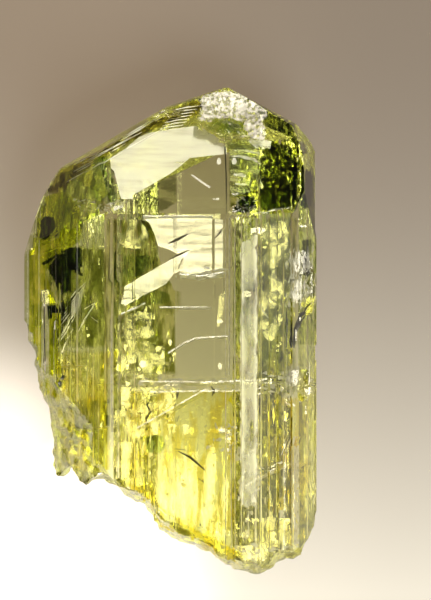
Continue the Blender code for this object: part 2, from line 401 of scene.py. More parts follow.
STRIP_CORNERS = ((240, 245), (256, 505))
STRIP_MIDDLE = (STRIP_CORNERS[0][0] + STRIP_CORNERS[1][0]) / 2
TIP_PATCH = (((201, 88), (250, 124)), ((240, 106), (266, 139)))
TIP_STAIN = ((212, 121), (245, 135))
TIP_RUGGED = ((198, 84), (267, 142))
CLEAR_WINDOWS = (((132, 158), (226, 262)), ((166, 278), (226, 398)))


def crystal_material():
    """Zoisite: clear, greener at the tip and more golden at the base, rough where it is broken."""
    material = bpy.data.materials.new("zoisite")
    nodes = Nodes(material)
    place = nodes.place()
    x, y, _ = nodes.parts(place)
    grain, upward = nodes.attribute("grain"), nodes.attribute("upward")
    on_top = nodes.between(upward, 0.3, 0.4)
    on_flat_back = nodes.between(upward, -0.85, -0.95)

    golden = nodes.between(y, 3.0, -8.0)
    tint = nodes.mix(golden, GREEN_TINT, GOLDEN_TINT)
    wobble = nodes.math("MULTIPLY_ADD", nodes.noise(place, 1.6, 2.0), 1.6, -0.8)
    patch_x, patch_y = nodes.math("ADD", x, wobble), nodes.math("SUBTRACT", y, wobble)
    patch = nodes.window(patch_x, patch_y, *TIP_PATCH[0], 0.08)
    patch = nodes.math("MAXIMUM", patch, nodes.window(patch_x, patch_y, *TIP_PATCH[1], 0.08))
    stain = nodes.window(patch_x, patch_y, *TIP_STAIN, 0.1)
    frost = nodes.times(patch, nodes.math("SUBTRACT", 1.0, stain), on_top)
    speckle = nodes.times(frost, nodes.between(nodes.noise(place, 4.5, 2.0), 0.42, 0.54))
    edge = nodes.times(nodes.between(x, -5.6, -6.4), on_flat_back)
    mottled_edge = nodes.times(edge, nodes.between(nodes.noise(place, 1.3), 0.2, 0.6))
    olive = nodes.math("MAXIMUM", mottled_edge, nodes.times(stain, on_top))
    tint = nodes.mix(nodes.between(upward, -0.985, -0.995), tint, WINDOW_TINT)
    tint = nodes.mix(olive, tint, OLIVE_TINT)
    tint = nodes.mix(nodes.times(grain, nodes.between(y, 2.0, -2.0)), tint, BREAK_TINT)
    white = nodes.mix(speckle, tint, FROST_COLOUR)
    on_front = nodes.between(upward, 0.9, 0.97)
    patches = nodes.between(nodes.noise(place, 2.0, 3.0, (1.0, 0.3, 1.0)), 0.2, 0.66)
    fray = nodes.noise(place, 1.3, 2.0)
    strip_x = nodes.math("MULTIPLY_ADD", fray, 0.3, nodes.math("SUBTRACT", x, 0.15))
    strip_y = nodes.math("MULTIPLY_ADD", fray, 3.0, nodes.math("SUBTRACT", y, 1.5))
    strip = nodes.times(nodes.window(strip_x, strip_y, *STRIP_CORNERS, 0.05), on_front, patches)
    nodes.put(nodes.shader.inputs["Base Color"], nodes.mix(strip, white, STRIP_COLOUR))

    roughness = nodes.math("MULTIPLY_ADD", frost, 0.3, nodes.times(grain, BREAK_ROUGHNESS))
    roughness = nodes.math("MULTIPLY_ADD", strip, 0.34, roughness)
    nodes.put(nodes.shader.inputs["Roughness"], nodes.math("ADD", roughness, 0.01))
    powder = nodes.times(nodes.math("MULTIPLY_ADD", speckle, 0.85, 0.15), frost, FROST_SHARE)
    off_middle = nodes.math("ABSOLUTE", nodes.math("SUBTRACT", strip_x, at_pixel(STRIP_MIDDLE, 0)[0]))
    rim = nodes.times(nodes.between(off_middle, 0.2, 0.42), STRIP_RIM_SHARE)
    cloudy = nodes.math("MAXIMUM", powder, nodes.times(strip, nodes.math("ADD", rim, STRIP_SHARE)))
    nodes.put(nodes.shader.inputs["Transmission Weight"], nodes.math("SUBTRACT", 1.0, cloudy))
    nodes.shader.inputs["IOR"].default_value = IOR

    # The relief, in millimetres: fine growth lines, the etched and faceted back, the rugged tip, and the
    # grain of the breaks. The back is smooth where the photograph shows clear windows.
    clear = 0.0
    for corners in CLEAR_WINDOWS:
        clear = nodes.math("MAXIMUM", nodes.window(x, y, *corners, 0.25), clear)
    clear = nodes.times(clear, on_flat_back)
    on_back = nodes.times(nodes.between(upward, -0.1, -0.5), nodes.math("SUBTRACT", 1.0, clear))
    smooth_faces = nodes.math("SUBTRACT", 1.0, grain)
    lines = nodes.times(nodes.noise(place, 12.0, 0.0, (1.0, 0.02, 1.0)), smooth_faces, 0.0012)
    etched = nodes.times(on_back, smooth_faces)
    streaks = nodes.times(nodes.noise(place, 3.0, 2.0, LONG_STREAKS), etched, 0.02)
    mosaic = nodes.times(nodes.facets(place, 0.9, (1.0, 0.45, 1.0)), etched, 0.12)
    rugged = nodes.times(nodes.window(x, y, *TIP_RUGGED, 0.1), on_top)
    sparkle = nodes.math("MULTIPLY_ADD", rugged, 0.8, nodes.times(etched, 0.12))
    small_mosaic = nodes.times(nodes.facets(place, 3.8, (1.0, 0.7, 1.0)), sparkle)
    rough = nodes.times(nodes.noise(place, 7.0, 1.0), grain, 0.035)
    height = nodes.math("ADD", nodes.math("ADD", lines, streaks), rough)
    height = nodes.math("ADD", height, nodes.math("ADD", mosaic, small_mosaic))
    bump = nodes.add("ShaderNodeBump")
    bump.inputs["Distance"].default_value = MM
    nodes.put(bump.inputs["Height"], height)
    nodes.put(nodes.shader.inputs["Normal"], bump.outputs["Normal"])

    absorb = nodes.add("ShaderNodeVolumeAbsorption")
    absorb.inputs["Color"].default_value = ABSORPTION_COLOUR
    absorb.inputs["Density"].default_value = ABSORPTION_DENSITY
    nodes.put(nodes.output.inputs["Volume"], absorb.outputs["Volume"])
    return material


CREAM = (1.0, 0.99, 0.93, 1.0)
PALE_YELLOW = (1.0, 0.985, 0.70, 1.0)
GOLDEN = (1.0, 0.98, 0.42, 1.0)


def thin_material(name, mirror, haze, roughness, holes, colour=CREAM, facing=None, ripple=(0.05, 1.6)):
    """A crack or veil: part mirror, part white haze, and clear where its noise leaves holes.

    mirror and haze are shares of what it shows. holes are a noise scale, its low and high, and its stretch.
    facing is the way that its small inner steps face, where that isn't the way that the whole of it lies.
    ripple is how much that facing wavers, and the scale of its noise.
    """
    material = bpy.data.materials.new(name)
    nodes = Nodes(material)
    nodes.tree.nodes.remove(nodes.shader)
    place = nodes.place()
    gloss = nodes.add("ShaderNodeBsdfGlossy")
    gloss.inputs["Color"].default_value = colour
    gloss.inputs["Roughness"].default_value = roughness
    if facing is not None:
        nodes.put(gloss.inputs["Normal"], nodes.wavering(place, facing, *ripple))
    passed = nodes.surface("ShaderNodeBsdfTranslucent", colour)
    powder = nodes.surface("ShaderNodeBsdfDiffuse", colour)
    dull = nodes.shader_mix(0.6, passed, powder)
    seen = nodes.shader_mix(mirror / (mirror + haze), dull, gloss.outputs[0])
    scale, low, high, stretch = holes
    pattern = nodes.noise(place, scale, 3.0, stretch)
    share = nodes.times(nodes.between(pattern, low, high, 0.0, mirror + haze), nodes.within(pattern))
    clear = nodes.surface("ShaderNodeBsdfTransparent", (1.0, 1.0, 1.0, 1.0))
    nodes.put(nodes.output.inputs["Surface"], nodes.shader_mix(share, clear, seen))
    return material


def film_material(name, dark, pale, scale, stretch, low=0.42, high=0.58):
    """A colour zone or stain: clear, and it tints what is behind it.

    Its noise, of this scale and stretch, takes it from the dark tint at low to the pale one at high.
    """
    material = bpy.data.materials.new(name)
    nodes = Nodes(material)
    nodes.tree.nodes.remove(nodes.shader)
    place = nodes.place()
    share = nodes.between(nodes.noise(place, scale, 3.0, stretch), low, high)
    colour = nodes.mix(share, (*dark, 1.0), (*pale, 1.0))
    colour = nodes.mix(nodes.between(nodes.attribute("edge"), 1.0, 0.2), (1.0, 1.0, 1.0, 1.0), colour)
    nodes.put(nodes.output.inputs["Surface"], nodes.surface("ShaderNodeBsdfTransparent", colour))
    return material


# The pale floor: a dark sheet that glows, with its light painted in: a painted gradient of light, brighter
# towards the base of the crystal, painted pools of light at the crystal's left and under its base, and
# painted light that fades to the right.
FLOOR_COLOUR = (0.08, 0.076, 0.07, 1.0)
FLOOR_DARK = (0.184, 0.124, 0.070, 1.0)
FLOOR_BRIGHT = (0.95, 0.87, 0.70, 1.0)
PAINTED_LIGHT_POOL = (0.62, 0.57, 0.50, 1.0)


def floor_material():
    material = bpy.data.materials.new("floor")
    nodes = Nodes(material)
    x, y, _ = nodes.parts(nodes.place())
    far, near = at_pixel(0, 0)[1], at_pixel(0, IMAGE_HEIGHT)[1]
    run = nodes.add("ShaderNodeMapRange", clamp=True)
    for socket, value in zip(run.inputs, (y, far, near, 0.0, 1.0)):
        nodes.put(socket, value)
    # Painted gradient of light: the glow runs from the dark far end to the bright near end.
    glow = nodes.mix(nodes.math("POWER", run.outputs[0], 2.2), FLOOR_DARK, FLOOR_BRIGHT)
    # Painted pools of light: one beside the left of the crystal and one under its base.
    side = nodes.times(nodes.between(x, -2.0, -11.0), nodes.between(y, 1.0, -7.0))
    under = nodes.times(nodes.between(x, 5.0, -2.0), nodes.between(y, -3.0, -9.0))
    whole = nodes.add("ShaderNodeMix", data_type="RGBA", blend_type="ADD")
    nodes.put(whole.inputs["Factor"], nodes.math("MAXIMUM", side, under))
    nodes.put(whole.inputs[6], glow)
    nodes.put(whole.inputs[7], PAINTED_LIGHT_POOL)
    nodes.put(nodes.shader.inputs["Base Color"], FLOOR_COLOUR)
    nodes.put(nodes.shader.inputs["Emission Color"], whole.outputs[2])
    # Painted light: the glow is stronger on the left and fades to the right.
    nodes.put(nodes.shader.inputs["Emission Strength"], nodes.between(x, -8.0, 17.0, 1.14, 0.76))
    nodes.shader.inputs["Roughness"].default_value = 0.6
    material.cycles.emission_sampling = "NONE"
    return material


# What is inside the crystal: cracks, veils, tubes and flakes. Each is placed by the pixels where the
# photograph shows it, along the bent line of sight, and at a depth under the front.

DOWN = Vector((0.0, 0.0, -1.0))
FRONT = Vector((0.0, 0.0, 1.0))
TIP_FRONT = Vector((0.0, 0.53, 0.848))
LEFT_BEVEL = Vector((-0.68, 0.0, 0.733))
RIGHT_BEVEL = Vector((0.81, 0.0, 0.58))
FRONT_FACES = (FRONT, TIP_FRONT, LEFT_BEVEL, RIGHT_BEVEL, Vector((-0.49, 0.85, 0.2)))
PLATE_THICKNESS = 0.015
SHEET_MARGIN = 0.04
FLAKE_MARGIN = 0.25
WALL_CELL = 0.35
TUBE_SIDES = 5


def refracted(ray, facing, ratio):
    """The ray after it passes a face. ratio is the index that it leaves over the one that it enters."""
    into = -facing if ray.dot(facing) < 0 else facing
    along = ray.dot(into)
    bent = ratio * (ray - into * along)
    return bent + into * math.sqrt(max(0.0, 1.0 - bent.length_squared))


SOLID = BVHTree.FromBMesh(solid_mesh())


def sight(x, y):
    """Where the line of sight of this pixel meets the crystal, and which way it goes on inside."""
    aim = Vector((*at_pixel(x, y), SILHOUETTE_Z))
    ray = (aim - CAMERA_PLACE).normalized()
    place, normal, _, _ = SOLID.ray_cast(CAMERA_PLACE, ray)
    if place is None:
        return aim, ray
    facing = max(FRONT_FACES, key=normal.dot).normalized()
    return place, refracted(ray, facing, 1 / IOR)


def inside(x, y, depth):
    """The place this far along the line of sight of a pixel, from where it enters the crystal."""
    place, ray = sight(x, y)
    return place + ray * depth


def flashing(face, light):
    """How a crack under this face lies if it shows this light to someone who looks straight down."""
    seen = refracted(DOWN, face, 1 / IOR)
    sent = -refracted(-Vector(light).normalized(), face, 1 / IOR)
    return (sent - seen).normalized()


def leaning(across, along):
    """The facing of a plate that leans this many degrees towards +X and towards +Y."""
    return Vector((math.tan(math.radians(across)), math.tan(math.radians(along)), 1.0)).normalized()


def join_part(bm, part):
    mesh = bpy.data.meshes.new("part")
    part.to_mesh(mesh)
    part.free()
    bm.from_mesh(mesh)
    bpy.data.meshes.remove(mesh)


def add_plate(bm, part, facing):
    """Gives a sheet a small thickness and adds it to the rest."""
    part.normal_update()
    for face in part.faces:
        if face.normal.dot(facing) < 0:
            face.normal_flip()
    grown = bmesh.ops.extrude_face_region(part, geom=part.faces[:])["geom"]
    moved = [item for item in grown if isinstance(item, bmesh.types.BMVert)]
    bmesh.ops.translate(part, verts=moved, vec=facing * PLATE_THICKNESS)
    bmesh.ops.recalc_face_normals(part, faces=part.faces)
    join_part(bm, part)


def add_inner_plate(bm, part, facing):
    """Adds what of a sheet lies inside the crystal."""
    outside = [vert for vert in part.verts if not is_inside(vert.co, SHEET_MARGIN)]
    bmesh.ops.delete(part, geom=outside, context="VERTS")
    if part.faces:
        add_plate(bm, part, facing)
    else:
        part.free()


def new_parts():
    """An empty mesh with the mark for soft edges."""
    bm = bmesh.new()
    bm.verts.layers.float.new("edge")
    return bm


def sheet(bm, outline, depth, cell=5.0, soft=True):
    """Adds a thin plate that the photograph shows with this outline, at this depth under the front."""
    part = new_parts()
    face = part.faces.new([part.verts.new((x, y, 0.0)) for x, y in outline])
    bmesh.ops.triangulate(part, faces=[face])
    for axis in range(2):
        low = min(corner[axis] for corner in outline)
        high = max(corner[axis] for corner in outline)
        normal = Vector((1.0 - axis, float(axis), 0.0))
        for step in range(1, int((high - low) / cell)):
            everything = part.verts[:] + part.edges[:] + part.faces[:]
            plane_place = normal * (low + step * cell)
            bmesh.ops.bisect_plane(part, geom=everything, plane_co=plane_place, plane_no=normal, dist=1e-4)
    edge = part.verts.layers.float["edge"]
    for vert in part.verts:
        vert[edge] = float(soft and vert.is_boundary)
    for vert in part.verts:
        vert.co = inside(vert.co.x, vert.co.y, depth)
    add_inner_plate(bm, part, FRONT)


def wall(bm, path, depth, height, lean, seed, wave=0.05):
    """Adds a thin upright plate under a path of pixels.

    lean is how far its foot is moved, across and along.
    """
    points = [inside(x, y, depth) for x, y in path]
    part = bmesh.new()
    rows = max(2, round(height / WALL_CELL))
    line = []
    for start, end in zip(points, points[1:]):
        count = max(1, round((end - start).length / WALL_CELL))
        line += [start.lerp(end, step / count) for step in range(count)]
    line.append(points[-1])
    grid = []
    for row in range(rows + 1):
        shift = Vector((lean[0], lean[1], -height)) * (row / rows)
        ring = []
        for point in line:
            place = point + shift
            ripple = wave * noise.noise(place * 1.1 + Vector((seed, 0.0, 0.0)))
            ring.append(part.verts.new(place + Vector((0.3 * ripple, ripple, 0.0))))
        grid.append(ring)
    for upper, lower in zip(grid, grid[1:]):
        for n in range(len(line) - 1):
            part.faces.new((upper[n], lower[n], lower[n + 1], upper[n + 1]))
    run = (points[-1] - points[0]).normalized()
    add_inner_plate(bm, part, run.cross(FRONT).normalized())


def tube(bm, path, depths, radius):
    """Adds a thin closed needle or tube along a path of pixels."""
    sides = TUBE_SIDES
    points = [inside(x, y, depth) for (x, y), depth in zip(path, depths)]
    part = bmesh.new()
    rings = []
    for n, point in enumerate(points):
        run = (points[min(n + 1, len(points) - 1)] - points[max(n - 1, 0)]).normalized()
        side = run.cross(FRONT).normalized()
        up = side.cross(run)
        end = n in (0, len(points) - 1)
        width = radius * (0.35 if end else 1.0)
        ring = []
        for k in range(sides):
            turn = 2 * math.pi * k / sides
            ring.append(part.verts.new(point + (side * math.cos(turn) + up * math.sin(turn)) * width))
        rings.append(ring)
    for first, second in zip(rings, rings[1:]):
        for k in range(sides):
            part.faces.new((first[k], first[(k + 1) % sides], second[(k + 1) % sides], second[k]))
    part.faces.new(rings[0])
    part.faces.new(rings[-1])
    bmesh.ops.recalc_face_normals(part, faces=part.faces)
    join_part(bm, part)


def lump(bm, x, y, depth, size, seed):
    """Adds a small uneven crumb."""
    part = bmesh.new()
    bmesh.ops.create_icosphere(part, subdivisions=2, radius=1.0)
    middle = inside(x, y, depth)
    for vert in part.verts:
        bulge = 1.0 + 0.35 * noise.noise(vert.co * 1.7 + Vector((seed, seed, 0.0)))
        vert.co = middle + Vector((vert.co.x * size[0], vert.co.y * size[1], vert.co.z * min(size))) * bulge
    join_part(bm, part)


def flakes(bm, corner, far_corner, depths, count, size, facing, spread, seed):
    """Scatters small flat flakes in a box of pixels. size is how wide and how long they are."""
    rng = random.Random(seed)
    for _ in range(count):
        x, y = rng.uniform(corner[0], far_corner[0]), rng.uniform(corner[1], far_corner[1])
        middle = inside(x, y, rng.uniform(*depths))
        if not is_inside(middle, FLAKE_MARGIN):
            continue
        tilt = Vector((rng.gauss(0, 1), rng.gauss(0, 1), 0.0)) * math.tan(math.radians(spread))
        out = (facing + tilt).normalized()
        along = (Vector((0.0, 1.0, 0.0)) - out * out.y).normalized()
        side = along.cross(out)
        corners = rng.randint(4, 6)
        turns = sorted(rng.uniform(0, 2 * math.pi) for _ in range(corners))
        wide, long = (value * rng.uniform(0.4, 1.3) for value in size)
        part = bmesh.new()
        ring = [middle + side * math.cos(t) * wide + along * math.sin(t) * long for t in turns]
        part.faces.new([part.verts.new(point) for point in ring])
        add_plate(bm, part, out)


def is_inside(place, margin):
    """Whether a place is inside the solid and at least this far under its surface."""
    nearest, normal, _, _ = SOLID.find_nearest(place)
    return (place - nearest).dot(normal) < -margin


def scatter(*rows):
    """A new mesh with a scatter of flakes for each row of values."""
    bm = new_parts()
    for row in rows:
        flakes(bm, *row)
    return bm


def inside_piece(name, bm, material):
    """Makes a piece that lies inside the crystal and moves with it."""
    piece = new_piece(name, bm, material)
    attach(piece, "root")
    return piece


UNDER_FRONT = flashing(FRONT, SOFT_BOX_PLACE)
UNDER_TIP = flashing(TIP_FRONT.normalized(), SOFT_BOX_PLACE)
UNDER_BEVEL = flashing(LEFT_BEVEL.normalized(), SOFT_BOX_PLACE)
UNDER_RIGHT = flashing(RIGHT_BEVEL.normalized(), SOFT_BOX_PLACE)
SEAM_WIDTH = 0.75


def around(x, y, wide, high):
    """The outline, in pixels, of a small eight-sided fleck."""
    turns = [math.pi * k / 4 for k in range(8)]
    return [(x + wide * math.cos(t) * (1.0 + 0.2 * math.sin(3 * t)), y + high * math.sin(t)) for t in turns]


def sheets(outlines, depth, cell=5.0):
    """A new mesh with one soft-edged sheet for each outline."""
    bm = new_parts()
    for outline in outlines:
        sheet(bm, outline, depth, cell)
    return bm


def spots(bm, places, depth):
    """Adds small flecks. Each place is a pixel, and how wide and high its fleck is, in pixels."""
    for place in places:
        sheet(bm, around(*place), depth, cell=2.0)


# The tables from here on give outlines and paths in pixels of the photograph. A spot is a pixel, and how wide
# and high its fleck is.

TIP_FLASH = (
    (110, 158), (125, 149), (142, 134), (170, 129), (196, 126), (214, 138), (226, 148), (226, 154),
    (190, 158), (178, 168), (170, 174), (133, 195), (133, 199), (121, 199), (114, 171), (111, 168),
)
SHOULDER_FLASH = (
    (99, 213), (104, 208), (126, 203), (127, 207), (112, 212),
)
TIP_ARCS = (
    ((227, 156), (240, 154), (255, 158), (266, 168), (255, 162), (240, 158)),
    ((230, 150), (246, 148), (262, 153), (262, 156), (246, 152)),
    ((231, 173), (240, 172), (252, 177), (246, 179), (236, 177)),
    ((231, 183), (243, 182), (250, 185), (240, 187)),
    ((247, 140), (258, 137), (272, 141), (270, 149), (256, 150)),
)
TIP_SPOTS = (
    (219, 161, 3, 4), (234, 161, 3, 4), (235, 194, 5, 1.5), (243, 176, 5, 1.5), (238, 180, 4, 1.2),
    (251, 166, 2, 1.5), (216, 199, 5, 1.2), (250, 133, 3, 2), (263, 128, 3, 2), (108, 206, 4, 1.5),
)
TIP_VEIL = (
    (227, 142), (246, 139), (264, 142), (270, 160), (262, 190), (246, 194), (228, 200),
)
TIP_NEEDLE = ((191, 175), (193, 175), (202, 181), (211, 187), (209, 188), (200, 182))


def add_tip_flashes():
    """Open cracks under the front face of the tip, which mirror the soft box, and a fainter veil there."""
    bm = new_parts()
    sheet(bm, TIP_FLASH, 0.9, soft=False)
    sheet(bm, SHOULDER_FLASH, 0.4)
    for arc in TIP_ARCS:
        sheet(bm, arc, 0.5, cell=2.5)
    spots(bm, TIP_SPOTS, 0.3)
    sheet(bm, TIP_NEEDLE, 0.3, cell=3.0, soft=False)
    material = thin_material("tip_crack", 0.055, 0.4, 0.07, (0.7, 0.0, 0.6, STREAKED), facing=UNDER_TIP)
    inside_piece("tip_cracks", bm, material)
    material = thin_material("tip_veil", 0.028, 0.06, 0.1, (1.2, 0.1, 0.6, STREAKED), CREAM, UNDER_TIP)
    inside_piece("tip_veils", sheets([TIP_VEIL], 0.7), material)


FOLD_FLASH = (
    (143, 218), (212, 218), (212, 270), (200, 273), (186, 275), (178, 270), (184, 258), (193, 249),
    (168, 249), (158, 246), (155, 236), (150, 224),
)
COLUMN_FLASH = (
    (214, 219), (223, 219), (223, 246), (223, 268), (214, 270), (214, 244),
)
BAND_FLASH = (
    (104, 298), (127, 285), (154, 269), (170, 260), (192, 249), (182, 259), (176, 271), (166, 284),
    (150, 292), (119, 309), (112, 304),
)
RIGHT_FLASH = (
    (249, 229), (258, 226), (267, 229), (262, 234), (250, 235),
)
FRONT_SPOTS = (
    (143, 364, 4.5, 4), (220, 366, 3, 4), (221, 357, 1.5, 2), (171, 342, 2, 2), (220, 321, 3.5, 3),
    (266, 381, 7, 4), (280, 388, 4, 2), (262, 444, 5, 1.2), (254, 449, 4, 1.2), (284, 443, 1.2, 7),
    (274, 466, 7, 1.3), (247, 294, 5, 4), (229, 437, 3, 8), (222, 430, 4, 3), (171, 385, 8, 1),
    (210, 383, 12, 1.2), (250, 383, 10, 1.5), (257, 372, 2, 3),
)
SEAMS = (
    ((140, 381), (200, 382), (262, 380)),
    ((150, 392), (190, 391), (236, 391)),
    ((143, 216), (180, 216), (213, 216)),
    ((137, 428), (172, 408), (206, 389)),
    ((245, 486), (268, 472), (285, 463)),
    ((273, 471), (292, 463)),
    ((160, 307), (208, 307)),
    ((168, 353), (182, 344), (195, 338), (226, 336)),
    ((179, 274), (200, 276), (223, 272)),
    ((121, 314), (145, 303)),
    ((206, 217), (208, 243)),
    ((266, 470), (282, 462)),
    ((258, 380), (274, 380)),
    ((257, 394), (274, 392)),
    ((233, 217), (292, 207)),
)


def add_front_flashes():
    """Open cracks under the front: the broad pale flashes, and the narrow seams across the crystal."""
    bm = new_parts()
    for outline, depth in ((FOLD_FLASH, 0.6), (COLUMN_FLASH, 0.55), (BAND_FLASH, 0.8)):
        sheet(bm, outline, depth, soft=False)
    sheet(bm, RIGHT_FLASH, 0.5, cell=2.5)
    spots(bm, FRONT_SPOTS, 0.35)
    holes = (1.1, 0.16, 0.66, STREAKED)
    material = thin_material("front_crack", 0.070, 0.1, 0.07, holes, PALE_YELLOW, UNDER_FRONT)
    inside_piece("front_cracks", bm, material)

    bm = new_parts()
    for seam in SEAMS:
        ribbon = [(x, y - SEAM_WIDTH) for x, y in seam] + [(x, y + SEAM_WIDTH) for x, y in reversed(seam)]
        sheet(bm, ribbon, 0.3, soft=False)
    material = thin_material("seam", 0.065, 0.3, 0.1, (2.6, 0.3, 0.58, EVEN), CREAM, UNDER_FRONT, (0.24, 3.0))
    inside_piece("seams", bm, material)


BEVEL_FLASH = (
    (42, 290), (48, 290), (56, 303), (43, 304),
)
BEVEL_SPOTS = (
    (74, 192, 2.5, 4), (55, 206, 2, 2.5), (60, 217, 2, 3), (48, 209, 4, 3.5), (66, 327, 3, 1.2),
    (30, 336, 3, 2), (32, 250, 3, 6), (99, 262, 1, 5), (93, 218, 2, 2), (36, 232, 2, 5),
)
EDGE_FLASH = (
    (288, 369), (298, 368), (309, 387), (309, 400), (304, 401), (296, 391), (291, 378),
)
EDGE_SPOTS = (
    (302, 262, 9, 13), (300, 290, 10, 15), (305, 226, 6, 2), (300, 219, 4, 1.5), (296, 335, 1.5, 9),
    (300, 316, 1.5, 8), (306, 410, 1.5, 6), (302, 150, 3, 9), (308, 160, 2, 8), (294, 500, 0.7, 40),
)


def add_side_flashes():
    """Open cracks under the left bevel and along the chipped right edge."""
    bm = new_parts()
    sheet(bm, BEVEL_FLASH, 0.4, soft=False)
    spots(bm, BEVEL_SPOTS, 0.25)
    holes = (3.0, 0.25, 0.5, (1.0, 0.2, 1.0))
    material = thin_material("bevel_crack", 0.045, 0.06, 0.1, holes, GOLDEN, UNDER_BEVEL)
    inside_piece("bevel_cracks", bm, material)

    bm = new_parts()
    for depth in (0.2, 0.3, 0.4):
        sheet(bm, EDGE_FLASH, depth)
    spots(bm, EDGE_SPOTS, 0.25)
    holes = (6.5, 0.40, 0.60, (1.0, 0.3, 1.0))
    material = thin_material("edge_crack", 0.075, 0.4, 0.12, holes, facing=UNDER_RIGHT, ripple=(0.2, 3.0))
    inside_piece("edge_cracks", bm, material)


MOTTLED_VEILS = (
    ((106, 344), (124, 338), (150, 340), (168, 346), (166, 368), (150, 381), (108, 381)),
    ((186, 540), (230, 530), (293, 530), (292, 560), (262, 574), (232, 570), (206, 556)),
    ((106, 385), (134, 385), (140, 420), (134, 470), (108, 470)),
    ((52, 350), (104, 345), (104, 470), (60, 462)),
    ((257, 225), (275, 219), (291, 218), (291, 290), (280, 330), (270, 345), (257, 330)),
    ((119, 318), (140, 310), (154, 312), (156, 340), (119, 342)),
    ((84, 218), (110, 217), (140, 218), (152, 236), (140, 250), (112, 246), (86, 256)),
    ((118, 385), (180, 385), (176, 420), (140, 440), (118, 430)),
)
GOLDEN_VEILS = (
    ((150, 470), (215, 440), (230, 480), (228, 548), (196, 535), (150, 498)),
    ((257, 398), (294, 398), (294, 545), (257, 550)),
    ((150, 421), (198, 424), (198, 438), (152, 435)),
    ((118, 440), (146, 440), (146, 492), (120, 480)),
    ((216, 290), (225, 290), (225, 330), (216, 330)),
    ((184, 528), (206, 540), (235, 545), (294, 540), (292, 560), (264, 574), (234, 571), (206, 558)),
)


def add_mottling():
    """Speckled healed fractures that lie along the front, and the golden glitter in them."""
    holes = (1.5, 0.36, 0.68, (1.0, 0.6, 1.0))
    material = thin_material("mottled_veil", 0.07, 0.1, 0.16, holes, GOLDEN, UNDER_FRONT, (0.4, 2.0))
    inside_piece("mottled_veils", sheets(MOTTLED_VEILS, 0.7), material)
    material = thin_material("golden_veil", 0.06, 0.06, 0.1, (1.8, 0.4, 0.6, LONG_STREAKS), GOLDEN,
                             UNDER_FRONT, (0.3, 1.8))
    inside_piece("golden_veils", sheets(GOLDEN_VEILS, 0.8), material)
    bm = scatter(
        ((106, 336), (176, 382), (0.5, 2.0), 110, (0.2, 0.26), UNDER_FRONT, 6.0, 21),
        ((118, 296), (176, 340), (0.5, 2.0), 30, (0.10, 0.22), UNDER_FRONT, 7.0, 30),
        ((118, 440), (232, 548), (0.6, 4.0), 90, (0.10, 0.6), UNDER_FRONT, 5.0, 22),
        ((258, 400), (294, 545), (0.5, 3.0), 60, (0.09, 0.5), UNDER_FRONT, 5.0, 23),
        ((118, 388), (176, 440), (0.6, 3.0), 60, (0.14, 0.2), UNDER_FRONT, 6.0, 24),
        ((186, 520), (294, 572), (0.3, 2.5), 320, (0.16, 0.16), UNDER_FRONT, 8.0, 25),
        ((256, 222), (292, 366), (0.6, 2.0), 100, (0.12, 0.18), UNDER_FRONT, 7.0, 28),
        ((30, 300), (108, 470), (0.3, 2.0), 160, (0.10, 0.25), UNDER_BEVEL, 7.0, 26),
        ((82, 215), (112, 300), (0.4, 1.5), 40, (0.08, 0.2), UNDER_BEVEL, 7.0, 29),
        ((27, 200), (62, 345), (0.2, 1.2), 90, (0.08, 0.25), UNDER_BEVEL, 8.0, 31),
        ((44, 160), (110, 214), (0.2, 1.0), 70, (0.10, 0.16), UNDER_BEVEL, 9.0, 32),
    )
    material = thin_material("golden_crack", 0.09, 0.1, 0.1, (2.6, 0.2, 0.5, EVEN), GOLDEN)
    inside_piece("golden_cracks", bm, material)


# Each upright fracture: its path, its depth under the front, its height, how far its foot is moved across and
# along, the seed of its waves, and how far it waves, where that isn't the usual.
FRACTURES = (
    (((140, 381), (200, 382), (262, 380), (292, 384)), 0.5, 8.0, (0.0, -0.35), 4.0),
    (((137, 428), (172, 408), (206, 389)), 0.6, 4.0, (0.1, -0.3), 5.0),
    (((243, 486), (270, 470), (285, 462)), 0.6, 3.5, (0.05, -0.2), 6.0),
    (((258, 480), (273, 471), (293, 462)), 0.6, 3.0, (0.05, -0.15), 6.5),
    (((168, 353), (182, 344), (195, 338), (226, 336)), 0.6, 1.5, (0.0, -0.12), 7.0),
    (((160, 307), (211, 307)), 0.7, 1.0, (0.0, -0.14), 8.0),
    (((176, 274), (200, 275), (224, 271)), 0.7, 1.5, (0.0, -0.3), 9.0, 0.12),
    (((45, 365), (90, 365)), 0.6, 1.5, (0.2, -0.15), 10.0),
    (((75, 430), (110, 426)), 0.6, 1.5, (0.1, -0.2), 11.0),
    (((282, 458), (287, 445), (294, 436)), 0.4, 1.5, (0.0, -0.1), 12.0),
    (((143, 217), (213, 216)), 0.2, 0.7, (0.0, -0.14), 13.0, 0.02),
    (((121, 314), (133, 309), (145, 303)), 0.7, 1.0, (0.0, -0.1), 14.0),
    (((41, 244), (50, 241), (58, 233)), 0.5, 1.0, (0.1, -0.1), 15.0),
    (((34, 256), (50, 251), (67, 243), (81, 233)), 0.5, 1.0, (0.1, -0.1), 16.0),
    (((118, 332), (118, 380), (118, 432)), 0.5, 1.0, (0.08, 0.0), 17.0, 0.02),
    (((294, 446), (294, 500), (294, 545)), 0.3, 1.0, (0.1, 0.0), 18.0, 0.02),
    (((231, 445), (231, 500), (232, 550)), 0.4, 1.0, (0.08, 0.0), 19.0, 0.02),
    (((229, 218), (229, 290), (229, 375)), 0.4, 1.0, (0.08, 0.0), 20.0, 0.02),
)


def add_fractures():
    """Healed fractures, seen nearly edge on: the long one across the crystal and the finer lines."""
    bm = new_parts()
    for fracture in FRACTURES:
        wall(bm, *fracture)
    material = thin_material("healed_fracture", 0.1, 0.75, 0.25, (2.4, 0.3, 0.55, EVEN))
    inside_piece("healed_fractures", bm, material)
